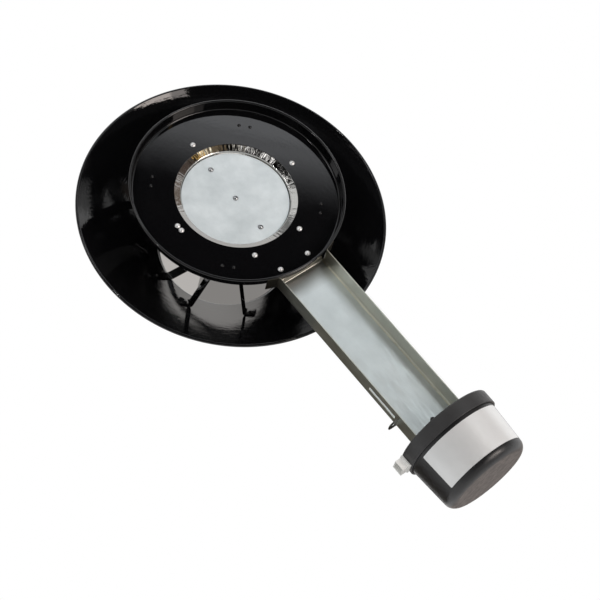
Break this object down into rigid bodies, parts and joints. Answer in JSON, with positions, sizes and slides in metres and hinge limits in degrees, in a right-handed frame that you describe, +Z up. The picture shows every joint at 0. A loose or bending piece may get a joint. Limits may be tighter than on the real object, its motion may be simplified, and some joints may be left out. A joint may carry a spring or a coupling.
{
  "type": "draft hood with motorised flue damper",
  "caption": "Flared round draft hood over a shallow base pan with a motor driven flue damper; a channel arm carries the cup shaped actuator off to one side.",
  "frame": {"origin": "on the flue axis, in the plane of the base pan's rim", "axes": "+Z up along the flue axis, +X along the channel arm towards the actuator"},
  "size_m": [0.6152, 0.3584, 0.2354],
  "materials": {
    "black_enamel": "deep gloss black enamel on drawn steel",
    "polished_stainless": "mirror polished stainless sheet",
    "zinc_sheet": "bright zinc plated sheet, faintly mottled",
    "galvanised_sheet": "dull galvanised sheet",
    "aluminium_rivet": "bright domed blind rivets",
    "steel": "plain bright steel",
    "bronze": "oiled sintered bronze",
    "charcoal_plastic": "satin charcoal moulded plastic",
    "black_plastic": "satin black moulded plastic",
    "nylon": "milky natural nylon",
    "label_plate": "bare satin silver label",
    "acetal": "off-white acetal"
  },
  "bodies": {
    "hood": {"base_pan": "black_enamel", "hood_skirt": "black_enamel", "throat_brace": "black_enamel", "vent_collar": "black_enamel", "leg_bracket_1": "black_enamel", "leg_bracket_2": "black_enamel", "leg_bracket_3": "black_enamel", "leg_bracket_4": "black_enamel", "collar_rivet_1": "black_enamel", "collar_rivet_2": "black_enamel", "collar_rivet_3": "black_enamel", "collar_rivet_4": "black_enamel", "damper_duct": "polished_stainless", "gear_motor": "zinc_sheet", "channel_arm": "galvanised_sheet", "duct_rivet_1": "aluminium_rivet", "duct_rivet_2": "aluminium_rivet", "duct_rivet_3": "aluminium_rivet", "duct_rivet_4": "aluminium_rivet", "duct_rivet_5": "aluminium_rivet", "duct_rivet_6": "aluminium_rivet", "channel_rivet_1": "aluminium_rivet", "channel_rivet_2": "aluminium_rivet", "gear_plate": "steel", "base_screw_1": "steel", "base_screw_2": "steel", "motor_screw_1": "steel", "motor_screw_2": "steel", "plate_post_1": "steel", "plate_post_2": "steel", "plate_post_3": "steel", "duct_bush_front": "bronze", "duct_bush_rear": "bronze", "base_bush": "bronze", "actuator_base": "charcoal_plastic", "actuator_cover": "black_plastic", "end_switch": "black_plastic", "cover_clip_1": "black_plastic", "cover_clip_2": "black_plastic", "cover_clip_3": "black_plastic", "harness_connector": "nylon", "rating_label": "label_plate"},
    "damper": {"damper_blade": "zinc_sheet", "damper_shaft": "steel", "blade_screw_1": "steel", "blade_screw_2": "steel", "blade_screw_3": "steel", "drive_gear": "acetal", "position_cam": "black_plastic"},
    "pinion": {"motor_pinion": "steel"},
    "lever": {"switch_lever": "steel"}
  },
  "joints": [
    {"name": "damper_turn", "type": "hinge", "parent": "hood", "child": "damper", "pos_m": [0, 0, 0.0269], "axis": [1, 0, 0], "range_deg": [0, 90]},
    {"name": "pinion_turn", "type": "hinge", "parent": "hood", "child": "pinion", "pos_m": [0, 0, -0.0031], "axis": [1, 0, 0], "range_deg": [-360, 0]},
    {"name": "lever_swing", "type": "hinge", "parent": "hood", "child": "lever", "pos_m": [0, 0.0188, 0.0109], "axis": [1, 0, 0], "range_deg": [0, 10.75]}
  ],
  "couplings": [
    {"joint": "pinion_turn", "follows": "damper_turn", "ratio": -4},
    {"joint": "lever_swing", "follows": "damper_turn", "ratio": 0.11937}
  ]
}
